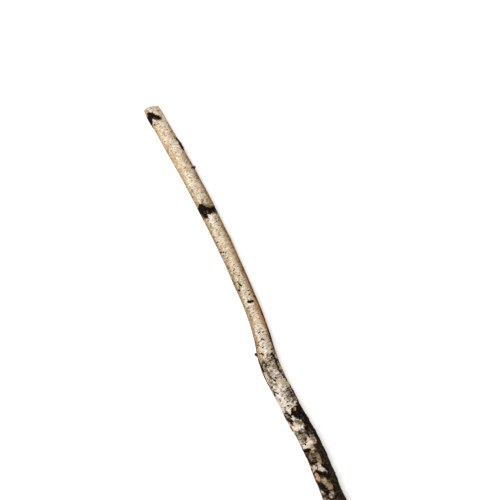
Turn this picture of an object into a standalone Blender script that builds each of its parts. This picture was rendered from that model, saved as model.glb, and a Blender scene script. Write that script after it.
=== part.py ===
"""A cut length of birch branch, lying on a flat surface with its bend lying level.

Metres, +Z up. The branch runs along X with its thin end at +X, and rests on z = 0. Places down the branch
are distances from the thin end. A turn about the branch is 0 on top and 90 degrees on its +Y side.
"""

import math
from collections import namedtuple

import bmesh
import bpy
from mathutils import Vector, noise

NAME = "birch_branch"
LENGTH = 0.910

# The branch at places down its length: the side step of its centre, its diameter, and the height of its
# underside. An underside below 0 is worn flat where the branch rests.
Station = namedtuple("Station", "along side diameter under")
COURSE = (
    Station(0.000, 0.0010, 0.0276, 0.0012),
    Station(0.075, -0.0045, 0.0288, -0.0006),
    Station(0.150, -0.0102, 0.0296, 0.0010),
    Station(0.275, -0.0136, 0.0286, -0.0006),
    Station(0.390, -0.0112, 0.0282, 0.0016),
    Station(0.440, -0.0058, 0.0304, 0.0012),
    Station(0.492, 0.0030, 0.0350, -0.0004),
    Station(0.560, 0.0026, 0.0346, -0.0006),
    Station(0.665, -0.0034, 0.0362, 0.0014),
    Station(0.735, -0.0004, 0.0372, 0.0008),
    Station(0.835, 0.0052, 0.0380, -0.0006),
    Station(0.910, 0.0064, 0.0394, 0.0006),
)

# Knots left by side shoots: each swells over its reach along and its girth across, with a hollow in it.
Knot = namedtuple("Knot", "along turn reach girth height hollow")
KNOTS = (
    Knot(0.019, 48, 0.014, 0.013, 0.0021, 0.0010),
    Knot(0.081, -78, 0.012, 0.006, 0.0022, 0.0000),
    Knot(0.112, 165, 0.012, 0.009, 0.0013, 0.0012),
    Knot(0.198, -14, 0.017, 0.017, 0.0016, 0.0018),
    Knot(0.262, -128, 0.012, 0.009, 0.0016, 0.0014),
    Knot(0.345, 128, 0.013, 0.010, 0.0017, 0.0015),
    Knot(0.380, -13, 0.007, 0.007, 0.0008, 0.0008),
    Knot(0.450, -150, 0.015, 0.012, 0.0018, 0.0016),
    Knot(0.492, 30, 0.022, 0.018, 0.0010, 0.0000),
    Knot(0.587, -20, 0.014, 0.015, 0.0020, 0.0020),
    Knot(0.612, 84, 0.010, 0.008, 0.0017, 0.0000),
    Knot(0.646, -124, 0.015, 0.012, 0.0018, 0.0016),
    Knot(0.704, 56, 0.014, 0.012, 0.0026, 0.0016),
    Knot(0.770, -62, 0.015, 0.012, 0.0020, 0.0018),
    Knot(0.838, 96, 0.016, 0.013, 0.0021, 0.0018),
)
HOLLOW_SHARPNESS = 5.0

# Short stubs of side twigs: height above the bark, thickness at the foot, and lean towards the thin end.
Stub = namedtuple("Stub", "along turn height foot lean")
STUBS = (
    Stub(0.127, -76, 0.0026, 0.0056, 35),
    Stub(0.467, 80, 0.0028, 0.0058, 30),
)
STUB_TAPER = 0.72
STUB_SIDES = 10
STUB_ROOT = 0.004

# The bark is even on the thin half and lumpy towards the butt, and calmer on the underside.
SMOOTH_LUMP = 0.0005
ROUGH_LUMP = 0.0013
LUMP_LONG = 0.032
LUMP_WIDE = 0.014
UNDERSIDE_CALM = 0.8
ROUGH_FROM = 0.440
ROUGH_TO = 0.520

# Both ends are sawn off square, with a worn rim. A cut's yaw turns its face towards +Y, and its pitch turns
# it up. The thin end is worn almost to a dome.
Cut = namedtuple("Cut", "along facing yaw pitch wear steps")
THIN_CUT = Cut(0.0, 1.0, math.radians(-8.0), math.radians(-14.0), 0.0036, 3)
BUTT_CUT = Cut(LENGTH, -1.0, math.radians(-4.0), math.radians(3.0), 0.0014, 2)

# Rings of the solid lie closer together at the knots, and keep clear of the saw cuts.
RING_STEP = 0.0092
KNOT_STEP = 0.0050
KNOT_SPAN = 1.2
OVERRUN = 0.010
END_CLEAR = 0.010
RING_CORNERS = 32
WELD = 0.00001

BARK_COLOUR = (0.66, 0.57, 0.45, 1.0)
BARK_ROUGHNESS = 0.75
SHARP_ANGLE = math.radians(40.0)


def course(along, column):
    """One column of COURSE at a place, on a smooth curve through its rows."""
    first = 0
    while first < len(COURSE) - 2 and COURSE[first + 1].along < along:
        first += 1
    places = [station.along for station in COURSE]
    values = [getattr(station, column) for station in COURSE]

    def slope(row):
        before = max(row - 1, 0)
        after = min(row + 1, len(COURSE) - 1)
        return (values[after] - values[before]) / (places[after] - places[before])

    span = places[first + 1] - places[first]
    share = (along - places[first]) / span
    share = min(max(share, 0.0), 1.0)
    start = (1 + 2 * share) * (1 - share) ** 2 * values[first]
    end = share * share * (3 - 2 * share) * values[first + 1]
    leave = share * (1 - share) ** 2 * span * slope(first)
    arrive = share * share * (share - 1) * span * slope(first + 1)
    return start + end + leave + arrive


def centre(along):
    """The middle of the branch at a place."""
    height = course(along, "diameter") / 2 + course(along, "under")
    return Vector((LENGTH / 2 - along, course(along, "side"), height))


def outward(turn):
    return Vector((0.0, math.sin(turn), math.cos(turn)))


def turn_between(turn, other):
    """The difference of two turns, the short way round."""
    return (turn - other + math.pi) % (2 * math.pi) - math.pi


def smooth_step(value, low, high):
    share = min(max((value - low) / (high - low), 0.0), 1.0)
    return share * share * (3 - 2 * share)


def swelling(along, turn):
    """How far the knots lift the bark, or sink it in their hollows."""
    radius = course(along, "diameter") / 2
    total = 0.0
    for knot in KNOTS:
        down = (along - knot.along) / knot.reach
        across = radius * turn_between(turn, math.radians(knot.turn)) / knot.girth
        distance = down * down + across * across
        total += knot.height * math.exp(-distance)
        total -= knot.hollow * math.exp(-HOLLOW_SHARPNESS * distance)
    return total


def lumps(along, turn):
    """The low unevenness of the bark, stronger on the rough part and weaker on the underside."""
    radius = course(along, "diameter") / 2
    side = outward(turn) * radius / LUMP_WIDE
    rough = smooth_step(along, ROUGH_FROM, ROUGH_TO)
    height = SMOOTH_LUMP + (ROUGH_LUMP - SMOOTH_LUMP) * rough
    height *= 1 - UNDERSIDE_CALM * max(-math.cos(turn), 0.0) ** 2
    return height * noise.noise(Vector((along / LUMP_LONG, side.y, side.z)))


def ring_places():
    """Places of the rings, from past the thin end to past the butt, with none where the ends are sawn."""
    places = [-OVERRUN, END_CLEAR]
    while places[-1] < LENGTH - END_CLEAR:
        near = any(abs(places[-1] - knot.along) < KNOT_SPAN * knot.reach for knot in KNOTS)
        places.append(places[-1] + (KNOT_STEP if near else RING_STEP))
    places[-1] = LENGTH + OVERRUN
    return places


def stem_mesh():
    """The plain tapering stem, as a mesh made from a curve."""
    curve = bpy.data.curves.new("stem_course", "CURVE")
    curve.dimensions = "3D"
    curve.twist_mode = "Z_UP"
    curve.bevel_depth = 1.0
    curve.bevel_resolution = RING_CORNERS // 2 - 2
    curve.use_fill_caps = True
    places = ring_places()
    spline = curve.splines.new("POLY")
    spline.points.add(len(places) - 1)
    for point, along in zip(spline.points, places):
        point.co = (*centre(along), 1.0)
        point.radius = course(along, "diameter") / 2
    guide = bpy.data.objects.new("stem_course", curve)
    bpy.context.scene.collection.objects.link(guide)
    bpy.context.view_layer.update()
    graph = bpy.context.evaluated_depsgraph_get()
    mesh = bpy.data.meshes.new_from_object(guide.evaluated_get(graph))
    bpy.data.objects.remove(guide)
    bpy.data.curves.remove(curve)
    return mesh


def shape_bark(bm):
    """Lifts every point by the knots and lumps, then wears the underside flat where it rests."""
    for vert in bm.verts:
        along = LENGTH / 2 - vert.co.x
        middle = centre(along)
        turn = math.atan2(vert.co.y - middle.y, vert.co.z - middle.z)
        vert.co += outward(turn) * (swelling(along, turn) + lumps(along, turn))
    rest_on_surface(bm)


def rest_on_surface(bm):
    for vert in bm.verts:
        vert.co.z = max(vert.co.z, 0.0)


def saw(bm, cut):
    """Saws the stem through at a place and wears the rim of the cut."""
    normal = Vector((cut.facing, math.tan(cut.yaw), math.tan(cut.pitch)))
    everything = bm.verts[:] + bm.edges[:] + bm.faces[:]
    bmesh.ops.bisect_plane(
        bm,
        geom=everything,
        plane_co=centre(cut.along),
        plane_no=normal.normalized(),
        clear_outer=True,
    )
    rim = [edge for edge in bm.edges if edge.is_boundary]
    bmesh.ops.holes_fill(bm, edges=rim, sides=0)
    bmesh.ops.bevel(
        bm,
        geom=rim,
        offset=cut.wear,
        offset_type="OFFSET",
        segments=cut.steps,
        profile=0.5,
        affect="EDGES",
        material=-1,
    )


def make_stub(stub, cutters):
    """A short cone, leaning towards the thin end, with its foot inside the stem."""
    turn = math.radians(stub.turn)
    lean = math.radians(stub.lean)
    direction = outward(turn) * math.cos(lean) + Vector((1.0, 0.0, 0.0)) * math.sin(lean)
    surface = centre(stub.along) + outward(turn) * (course(stub.along, "diameter") / 2)
    depth = STUB_ROOT + stub.height / math.cos(lean)
    mesh = bpy.data.meshes.new("twig_stub")
    bm = bmesh.new()
    bmesh.ops.create_cone(
        bm,
        cap_ends=True,
        segments=STUB_SIDES,
        radius1=stub.foot / 2,
        radius2=stub.foot / 2 * STUB_TAPER,
        depth=depth,
    )
    bmesh.ops.translate(bm, verts=bm.verts, vec=(0.0, 0.0, depth / 2 - STUB_ROOT))
    bmesh.ops.rotate(
        bm,
        verts=bm.verts,
        cent=(0.0, 0.0, 0.0),
        matrix=direction.to_track_quat("Z", "X").to_matrix(),
    )
    bmesh.ops.translate(bm, verts=bm.verts, vec=surface)
    bm.to_mesh(mesh)
    bm.free()
    obj = bpy.data.objects.new("twig_stub", mesh)
    obj.hide_render = True
    obj.display_type = "WIRE"
    cutters.objects.link(obj)
    return obj


def bark_material():
    material = bpy.data.materials.new("birch_bark")
    material.use_nodes = True
    shader = material.node_tree.nodes["Principled BSDF"]
    shader.inputs["Base Color"].default_value = BARK_COLOUR
    shader.inputs["Roughness"].default_value = BARK_ROUGHNESS
    shader.inputs["Metallic"].default_value = 0.0
    return material


def join_stubs(branch, cutters):
    """Joins the stubs to the stem with Boolean unions, and keeps the result as the branch's mesh."""
    for stub in STUBS:
        union = branch.modifiers.new("join_stub", "BOOLEAN")
        union.operation = "UNION"
        union.solver = "EXACT"
        union.object = make_stub(stub, cutters)
    bpy.context.view_layer.update()
    graph = bpy.context.evaluated_depsgraph_get()
    joined = bpy.data.meshes.new_from_object(branch.evaluated_get(graph))
    branch.modifiers.clear()
    branch.data = joined


def centre_on_origin(mesh):
    """Moves the mesh so that the middle of its box is over the origin and its underside is at z = 0."""
    for axis in range(2):
        places = [vert.co[axis] for vert in mesh.vertices]
        middle = (min(places) + max(places)) / 2
        for vert in mesh.vertices:
            vert.co[axis] -= middle


def main():
    for obj in list(bpy.data.objects):
        bpy.data.objects.remove(obj)
    parts = bpy.data.collections.new(NAME)
    cutters = bpy.data.collections.new("joined_shapes")
    for collection in (parts, cutters):
        bpy.context.scene.collection.children.link(collection)

    mesh = stem_mesh()
    bm = bmesh.new()
    bm.from_mesh(mesh)
    bmesh.ops.remove_doubles(bm, verts=bm.verts, dist=WELD)
    shape_bark(bm)
    saw(bm, THIN_CUT)
    saw(bm, BUTT_CUT)
    rest_on_surface(bm)
    bmesh.ops.recalc_face_normals(bm, faces=bm.faces)
    bm.to_mesh(mesh)
    bm.free()

    branch = bpy.data.objects.new(NAME, mesh)
    parts.objects.link(branch)
    join_stubs(branch, cutters)
    centre_on_origin(branch.data)
    branch.data.name = NAME
    branch.data.materials.clear()
    branch.data.materials.append(bark_material())
    branch.data.shade_smooth()
    branch.data.set_sharp_from_angle(angle=SHARP_ANGLE)


main()
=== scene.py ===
"""Dresses the birch branch: its bark, knots, scars and sawn ends, on a pale floor under soft light.

Metres, in the frame of the CAD part. The branch runs along X with its thin end at +X and lies on z = 0.
Places down the branch are distances from the thin end, and a turn about it is 0 on top and 90 degrees on
its +Y side. The marks on the bark are given in millimetres and degrees.
"""

import math
from collections import namedtuple

import bmesh
import bpy
import numpy as np
from mathutils import Matrix, Vector, noise


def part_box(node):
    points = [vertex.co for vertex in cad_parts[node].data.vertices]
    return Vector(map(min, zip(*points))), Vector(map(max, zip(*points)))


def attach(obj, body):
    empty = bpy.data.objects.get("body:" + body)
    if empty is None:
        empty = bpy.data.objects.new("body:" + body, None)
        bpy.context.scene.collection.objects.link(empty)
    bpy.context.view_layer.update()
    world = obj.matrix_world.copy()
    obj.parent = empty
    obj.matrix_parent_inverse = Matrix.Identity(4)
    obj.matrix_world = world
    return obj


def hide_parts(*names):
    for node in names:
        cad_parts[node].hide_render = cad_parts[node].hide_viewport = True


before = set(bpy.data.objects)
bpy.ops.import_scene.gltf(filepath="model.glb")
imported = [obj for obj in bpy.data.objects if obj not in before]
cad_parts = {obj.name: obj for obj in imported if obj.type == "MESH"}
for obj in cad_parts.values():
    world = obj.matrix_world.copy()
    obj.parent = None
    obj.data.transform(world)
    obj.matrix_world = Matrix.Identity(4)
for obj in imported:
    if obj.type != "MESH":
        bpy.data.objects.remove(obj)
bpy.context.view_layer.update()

MM = 0.001
NODE = "birch_branch"
BODY = "root"

# The course of the branch, as in the CAD part: side step of its centre, diameter, height of its underside.
LENGTH = 0.910
Station = namedtuple("Station", "along side diameter under")
COURSE = (
    Station(0.000, 0.0010, 0.0276, 0.0012),
    Station(0.075, -0.0045, 0.0288, -0.0006),
    Station(0.150, -0.0102, 0.0296, 0.0010),
    Station(0.275, -0.0136, 0.0286, -0.0006),
    Station(0.390, -0.0112, 0.0282, 0.0016),
    Station(0.440, -0.0058, 0.0304, 0.0012),
    Station(0.492, 0.0030, 0.0350, -0.0004),
    Station(0.560, 0.0026, 0.0346, -0.0006),
    Station(0.665, -0.0034, 0.0362, 0.0014),
    Station(0.735, -0.0004, 0.0372, 0.0008),
    Station(0.835, 0.0052, 0.0380, -0.0006),
    Station(0.910, 0.0064, 0.0394, 0.0006),
)

# Knots: reach is down the branch and girth about it, and the hollow is sunk into the top of the swelling.
Knot = namedtuple("Knot", "along turn reach girth height hollow")
KNOTS = (
    Knot(0.019, 48, 0.014, 0.013, 0.0021, 0.0010),
    Knot(0.081, -78, 0.012, 0.006, 0.0022, 0.0000),
    Knot(0.112, 165, 0.012, 0.009, 0.0013, 0.0012),
    Knot(0.198, -14, 0.017, 0.017, 0.0016, 0.0018),
    Knot(0.262, -128, 0.012, 0.009, 0.0016, 0.0014),
    Knot(0.345, 128, 0.013, 0.010, 0.0017, 0.0015),
    Knot(0.380, -13, 0.007, 0.007, 0.0008, 0.0008),
    Knot(0.450, -150, 0.015, 0.012, 0.0018, 0.0016),
    Knot(0.492, 30, 0.022, 0.018, 0.0010, 0.0000),
    Knot(0.587, -20, 0.014, 0.015, 0.0020, 0.0020),
    Knot(0.612, 84, 0.010, 0.008, 0.0017, 0.0000),
    Knot(0.646, -124, 0.015, 0.012, 0.0018, 0.0016),
    Knot(0.704, 56, 0.014, 0.012, 0.0026, 0.0016),
    Knot(0.770, -62, 0.015, 0.012, 0.0020, 0.0018),
    Knot(0.838, 96, 0.016, 0.013, 0.0021, 0.0018),
)
HOLLOW_SHARPNESS = 5.0

# Knots with no painted scar of their own get a plain eye-shaped one.
EYE_KNOTS = (0.112, 0.262, 0.345, 0.450, 0.646, 0.770, 0.838)

# Broken twigs, which lean towards the thin end by so many degrees. The second one is thicker, longer and
# flatter than in the CAD part, and 4 mm nearer to the butt.
Stub = namedtuple("Stub", "along turn height foot lean")
STUBS = (
    Stub(0.127, -76, 0.0026, 0.0056, 35),
    Stub(0.471, 80, 0.0030, 0.0068, 50),
)

# Low lumps: their heights on smooth and on rough bark, their size, and how much calmer the underside is.
SMOOTH_LUMP = 0.0005
ROUGH_LUMP = 0.0013
LUMP_LONG = 0.032
LUMP_WIDE = 0.014
UNDERSIDE_CALM = 0.8
ROUGH_FROM = 0.440
ROUGH_TO = 0.520

# The sawn ends: which way each faces, how it slants, and how far its rim is worn.
Cut = namedtuple("Cut", "facing yaw pitch wear")
THIN_CUT = Cut(1.0, math.radians(-8.0), math.radians(-14.0), 0.0036)
BUTT_CUT = Cut(-1.0, math.radians(-4.0), math.radians(3.0), 0.0014)
LEAN_FADE = 0.030

# The fine mesh of the branch. Patterns are laid on a straight stem of the grown radius, so that they follow
# the bends and the girth of the branch.
BARK_ROWS = 772
FACE_ROWS = 8
RIM_ROWS = 5
COLUMNS = 112
WELD = 0.000002
GROWN_RADIUS = 0.0165

# Marks on the bark, in millimetres down the branch and degrees about it. Width is half the mark's width.
Stroke = namedtuple("Stroke", "along turn to_along to_turn width strength", defaults=(1.0,))

BLACK_MARKS = (
    # the arrow-shaped scar at the thin end
    Stroke(16, 62, 29, 74, 4.2),
    Stroke(10, 34, 23, 52, 4.0),
    Stroke(12, 22, 20, 2, 3.8),
    Stroke(20, 2, 23, -17, 3.0),
    Stroke(30, 38, 31, 34, 1.2, 0.85),
    # the dark edge knot and the foot of the upper twig stub
    Stroke(70, -71, 87, -70, 4.0),
    Stroke(76, -88, 94, -98, 3.4),
    Stroke(60, -66, 61, -70, 0.8),
    Stroke(66, -22, 66, -27, 0.7),
    Stroke(126, -50, 127, -84, 1.7),
    # the dark band knot
    Stroke(198, 74, 213, 82, 4.4),
    Stroke(193, 24, 201, 60, 4.0),
    Stroke(199, 26, 207, -8, 6.2),
    Stroke(205, 54, 212, 30, 5.0),
    Stroke(206, -8, 208, -50, 5.6, 0.76),
    Stroke(207, -50, 208, -95, 5.2, 0.70),
    # the dark edge above the rough part: dark bark with painted shade of the right side
    Stroke(402, -66, 422, -76, 3.0, 0.76),
    Stroke(418, -80, 442, -68, 3.4, 0.72),
    Stroke(440, -66, 456, -82, 3.2, 0.72),
    Stroke(452, -60, 476, -76, 3.0, 0.70),
    # the open loop of dark bark and the round eye below it
    Stroke(333, 58, 342, 58, 0.9, 0.85),
    Stroke(343, 24, 346, 20, 1.0, 0.9),
    Stroke(346, 18, 349, 11, 1.3),
    Stroke(349, 23, 354, 31, 0.9, 0.9),
    Stroke(355, 52, 356, 36, 1.4),
    Stroke(380, 8, 382, -20, 2.3),
    Stroke(374, -46, 377, -60, 1.1),
    # spots above the rough part
    Stroke(448, 6, 450, -6, 1.2),
    Stroke(456, 3, 457, 8, 0.8, 0.8),
    Stroke(471, 28, 474, 20, 1.5),
    Stroke(472, -38, 471, -76, 1.1, 0.9),
    Stroke(466, 74, 471, 86, 1.8),
    # where the smooth bark breaks up
    Stroke(475, 76, 486, 58, 2.2, 0.8),
    Stroke(486, 62, 500, 52, 3.4, 0.75),
    Stroke(488, 26, 492, 14, 1.3, 0.8),
    Stroke(500, 66, 530, 72, 2.4, 0.75),
    Stroke(478, -30, 484, -44, 2.2, 0.8),
    Stroke(486, -46, 508, -42, 3.6, 0.66),
    Stroke(470, -74, 540, -88, 2.6, 0.85),
    Stroke(508, -40, 530, -62, 4.0, 0.55),
    Stroke(519, 0, 521, -5, 1.2),
    Stroke(522, 16, 524, 10, 1.2),
    Stroke(531, 58, 534, 48, 1.3),
    Stroke(541, 54, 546, 32, 1.4),
    Stroke(545, 60, 549, 66, 1.4),
    Stroke(566, 0, 568, -8, 0.8, 0.9),
    Stroke(572, 12, 573, 5, 0.8),
    Stroke(545, -70, 580, -82, 3.2, 0.95),
    # the black knot with its small cut heart
    Stroke(581, -4, 590, 12, 2.0),
    Stroke(588, 4, 597, -8, 3.4),
    Stroke(583, -32, 590, -56, 5.0),
    Stroke(576, -38, 577, -44, 1.1, 0.9),
    Stroke(588, -56, 602, -72, 7.0),
    Stroke(589, -8, 598, -16, 4.4),
    Stroke(590, -26, 601, -52, 6.4),
    Stroke(604, -52, 640, -70, 6.4, 0.85),
    Stroke(583, 60, 585, 36, 1.8, 0.8),
    Stroke(586, 32, 593, 24, 1.8, 0.8),
    Stroke(594, 64, 601, 42, 2.2, 0.9),
    Stroke(598, 36, 602, 26, 1.6, 0.85),
    Stroke(607, 44, 609, 38, 1.2, 0.85),
    Stroke(606, -22, 617, -44, 1.8, 0.9),
    Stroke(617, -44, 624, -20, 2.6, 0.85),
    Stroke(621, 24, 624, 32, 1.2, 0.85),
    # below it, down to the second cut knot
    Stroke(620, -20, 624, -28, 3.2, 0.85),
    Stroke(631, -14, 637, -13, 1.7, 0.95),
    Stroke(625, 22, 627, 15, 1.8),
    Stroke(624, 68, 628, 60, 1.7),
    Stroke(632, 70, 650, 60, 1.4, 0.9),
    Stroke(639, 17, 643, 20, 1.3),
    Stroke(644, 36, 647, 29, 1.3, 0.9),
    Stroke(656, 72, 659, 34, 3.6, 0.8),
    Stroke(656, 36, 658, 20, 2.4),
    Stroke(668, 64, 684, 56, 3.4, 0.8),
    Stroke(680, 44, 684, 36, 2.4, 0.9),
    Stroke(690, -7, 692, -12, 1.7),
    Stroke(694, -13, 697, -18, 1.6),
    Stroke(698, -22, 703, -30, 2.6, 0.9),
    Stroke(692, 66, 698, 76, 2.4),
    Stroke(698, 36, 706, 4, 3.4, 0.95),
    Stroke(706, 2, 714, -16, 4.2, 0.9),
    Stroke(716, 66, 728, 40, 4.4, 0.9),
    Stroke(722, 38, 738, 22, 5.2, 0.8),
)

# Broad areas, from one place to another down the branch and to a spread on both sides of a turn. A lower
# strength leaves more of the other bark between the patches.
Area = namedtuple("Area", "start end turn spread strength")

# The dark areas down the right side, at turns -60 to -84 from 486 mm on, are dark bark with painted shade of
# that side.
DARK_AREAS = (
    Area(222, 340, 68, 34, 0.34),
    Area(474, 512, 20, 180, 0.38),
    Area(474, 501, 78, 46, 0.56),
    Area(486, 560, -84, 52, 0.36),
    Area(512, 575, 0, 180, 0.28),
    Area(532, 574, -30, 50, 0.48),
    Area(580, 602, 52, 44, 0.52),
    Area(574, 606, -76, 50, 0.90),
    Area(603, 646, -66, 66, 0.66),
    Area(640, 770, -64, 70, 0.88),
    Area(770, 940, -60, 66, 0.66),
    Area(620, 642, 0, 60, 0.50),
    Area(652, 686, 20, 100, 0.50),
    Area(697, 716, 6, 56, 0.62),
    Area(714, 764, 10, 110, 0.60),
    Area(540, 940, 170, 90, 0.42),
    Area(764, 940, 20, 120, 0.42),
)

OLIVE_AREAS = (
    Area(140, 192, 62, 34, 0.36),
    Area(222, 400, 70, 40, 0.40),
    Area(474, 528, 20, 180, 0.42),
    Area(520, 548, 74, 44, 0.56),
    Area(536, 572, -20, 50, 0.48),
    Area(577, 604, 58, 44, 0.56),
    Area(618, 642, 10, 70, 0.64),
    Area(652, 686, 24, 100, 0.50),
    Area(700, 764, 0, 110, 0.46),
    Area(560, 940, 180, 100, 0.44),
    Area(764, 940, 20, 120, 0.45),
)

BROWN_AREAS = (
    Area(652, 764, 0, 130, 0.42),
    Area(764, 940, 10, 140, 0.44),
)

BROWN_MARKS = (
    Stroke(12, 30, 24, -16, 5.4, 0.8),
    Stroke(36, -66, 60, -70, 3.0, 0.60),
    Stroke(199, 10, 212, -70, 8.0, 0.75),
    Stroke(206, 64, 218, 56, 3.0, 0.9),
    Stroke(64, -50, 71, -54, 2.4, 0.9),
    Stroke(186, 30, 190, 54, 2.0, 0.6),
    # The next four streaks run down the right side: painted shade of its rounded side.
    Stroke(130, -66, 192, -70, 2.6, 0.62),
    Stroke(226, -68, 310, -66, 3.4, 0.74),
    Stroke(308, -66, 402, -66, 4.0, 0.80),
    Stroke(400, -58, 476, -60, 3.0, 0.74),
    Stroke(412, 36, 417, 32, 1.6, 0.7),
    Stroke(555, 44, 559, 40, 0.9),
    Stroke(568, 0, 577, -8, 2.0, 0.7),
    Stroke(574, 30, 579, 37, 1.4),
    Stroke(607, 40, 610, 36, 1.4),
    Stroke(619, 6, 621, 2, 1.6),
    Stroke(639, -18, 648, -26, 5.0, 0.58),
)

OLIVE_MARKS = (
    Stroke(2, 8, 6, -14, 1.6, 0.7),
    Stroke(1, 40, 5, 30, 1.2, 0.6),
    Stroke(11, -35, 12, -37, 1.5, 0.95),
    Stroke(161, 30, 165, 27, 1.6, 0.95),
    Stroke(168, 34, 169, 27, 1.0, 0.8),
    Stroke(180, 36, 186, 40, 2.0, 0.62),
    Stroke(185, -4, 193, 8, 3.4, 0.72),
    Stroke(194, -12, 197, -32, 2.2, 0.7),
    Stroke(215, 38, 219, 18, 2.0, 0.8),
    Stroke(228, 20, 234, 34, 1.2, 0.95),
    Stroke(284, 16, 289, 19, 1.1, 0.9),
    Stroke(295, 42, 299, 32, 1.4, 0.95),
    Stroke(315, 34, 319, 42, 1.2, 0.95),
    Stroke(327, 42, 332, 57, 1.2, 0.95),
    Stroke(338, 50, 341, 20, 1.8, 0.9),
    Stroke(376, 52, 384, 57, 1.5, 0.9),
    Stroke(393, 50, 397, 38, 1.6, 0.85),
    Stroke(524, 42, 531, 16, 3.2, 0.75),
    Stroke(603, 10, 610, -8, 4.6, 0.78),
    Stroke(627, 10, 636, 12, 3.2, 0.85),
)

PALE_MARKS = (
    Stroke(214, 0, 226, 10, 4.0, 0.8),
    Stroke(424, 16, 466, 2, 7.0, 0.58),
    Stroke(504, 4, 512, -8, 4.0, 0.75),
    Stroke(536, 24, 574, 14, 9.0, 0.72),
    Stroke(540, -6, 566, 30, 7.0, 0.72),
    Stroke(613, 46, 617, -4, 3.2),
    Stroke(643, 52, 648, -4, 3.6, 0.66),
    Stroke(635, 56, 651, 38, 1.9),
    Stroke(633, -2, 638, -8, 1.8, 0.9),
    Stroke(687, 48, 694, 24, 4.0, 0.66),
    Stroke(688, 16, 698, 2, 4.2, 0.68),
    Stroke(699, -12, 704, -20, 2.2),
    Stroke(713, 27, 719, 8, 1.4, 0.95),
    Stroke(720, 19, 724, 12, 1.5, 0.95),
    Stroke(734, 60, 738, 48, 2.6, 0.9),
    Stroke(742, 20, 747, 8, 3.4, 0.85),
    Stroke(741, 0, 744, -6, 2.0),
    Stroke(749, 56, 753, 48, 2.8),
    Stroke(786, 30, 812, 44, 7.0, 0.8),
    Stroke(850, -6, 866, 8, 8.0, 0.8),
    Stroke(800, 150, 840, 160, 10.0, 0.7),
    Stroke(600, 160, 660, 172, 10.0, 0.7),
    Stroke(690, -108, 712, -122, 5.0, 0.8),
    Stroke(804, -84, 826, -104, 6.0, 0.9),
    Stroke(862, -112, 884, -96, 5.0, 0.8),
    Stroke(110, -112, 190, -130, 7.0, 0.7),
    Stroke(300, -100, 350, -118, 6.0, 0.7),
)

GOLDEN_MARKS = (
    Stroke(8, 84, 28, 88, 2.4, 0.9),
    Stroke(33, 70, 190, 74, 5.0, 0.62),
    Stroke(140, 66, 170, 66, 4.0, 0.6),
    Stroke(218, 70, 420, 74, 4.0, 0.62),
    Stroke(240, -52, 300, -50, 4.0, 0.80),
    Stroke(300, -52, 420, -54, 6.0, 0.90),
    Stroke(400, 60, 478, 60, 7.0, 0.78),
    Stroke(478, 76, 560, 74, 4.0, 0.6),
    Stroke(573, -6, 579, -12, 2.2, 0.7),
    Stroke(639, -18, 648, -26, 5.0, 0.9),
    Stroke(655, 10, 661, 10, 2.4, 0.9),
    Stroke(673, -4, 681, -8, 2.2, 0.8),
    Stroke(726, 8, 732, -8, 4.6, 0.9),
)

AMBER_MARKS = (
    Stroke(37, 14, 42, -8, 1.0, 0.7),
    Stroke(49, 13, 56, 8, 2.0, 0.75),
    Stroke(57, -28, 61, -29, 1.5, 0.75),
    Stroke(66, 44, 75, 48, 1.8, 0.6),
    Stroke(85, 24, 101, 29, 2.0, 0.75),
    Stroke(117, 31, 125, 28, 1.6, 0.75),
    Stroke(217, 54, 223, 50, 1.8, 0.9),
    Stroke(262, -32, 384, -36, 2.0, 0.55),
    Stroke(298, 20, 303, 17, 1.8, 0.7),
    Stroke(304, 54, 306, 46, 1.5, 0.9),
    Stroke(382, -34, 408, -38, 4.2, 0.62),
    Stroke(404, -38, 426, -40, 4.4, 0.70),
    Stroke(424, -42, 446, -50, 3.0, 0.6),
    Stroke(427, 2, 433, -10, 2.2, 0.65),
    Stroke(718, -12, 723, -10, 1.7, 0.8),
)

RUST_MARKS = (
    Stroke(19, 12, 23, 4, 1.3, 0.55),
    Stroke(29, 10, 33, 6, 1.0, 0.6),
    Stroke(37, 8, 41, -2, 1.0, 0.5),
    Stroke(206, 4, 209, 4, 1.3, 0.6),
    Stroke(208, 62, 216, 48, 2.4, 0.7),
    Stroke(305, 50, 307, 42, 1.0, 0.6),
    Stroke(323, 24, 327, 21, 1.6, 0.6),
    Stroke(414, 4, 416, -16, 0.9, 0.6),
    Stroke(580, -10, 581, -16, 1.0, 0.9),
    Stroke(610, 66, 615, 67, 2.6),
)

# Cut hearts of knots, sunk in a raised dark rim: from one end of the oval to the other.
HEARTS = (
    Stroke(581.4, -21, 584.6, -15, 1.7),
    Stroke(703.4, 48, 710.6, 44, 4.8),
)
HEART_RIM = 1.7

# Long narrow cracks.
CRACKS = (
    Stroke(601, -24, 622, -50, 0.7),
    Stroke(674, 8, 697, 28, 0.7),
    Stroke(738, 46, 764, 42, 0.8),
    Stroke(798, -20, 832, -6, 0.7),
    Stroke(560, 120, 592, 128, 0.6),
)

# Short dark dashes across the bark: place, turn and half of the length.
Dash = namedtuple("Dash", "along turn reach")
DASHES = (
    Dash(222, 30, 1.6),
    Dash(224, -32, 1.2),
    Dash(229, -36, 3.0),
    Dash(234, 56, 1.2),
    Dash(251, 50, 2.4),
    Dash(263, 41, 2.2),
    Dash(281, 48, 2.4),
    Dash(283, 31, 1.5),
    Dash(288, 49, 2.2),
    Dash(295, 19, 1.2),
    Dash(312, 47, 2.2),
    Dash(319, 15, 2.0),
    Dash(331, -5, 1.0),
    Dash(362, -24, 1.4),
    Dash(363, 4, 1.6),
    Dash(369, -19, 1.8),
    Dash(389, 28, 1.5),
    Dash(395, 1, 1.8),
    Dash(405, 34, 1.2),
    Dash(436, 10, 1.8),
    Dash(438, -20, 1.6),
    Dash(451, 31, 1.4),
    Dash(462, 11, 1.4),
    Dash(476, 22, 1.6),
    Dash(480, -24, 1.4),
)
DASH_WIDTH = 0.75
DASH_STRENGTH = 0.86
DASH_SLANT = 0.4

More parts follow.
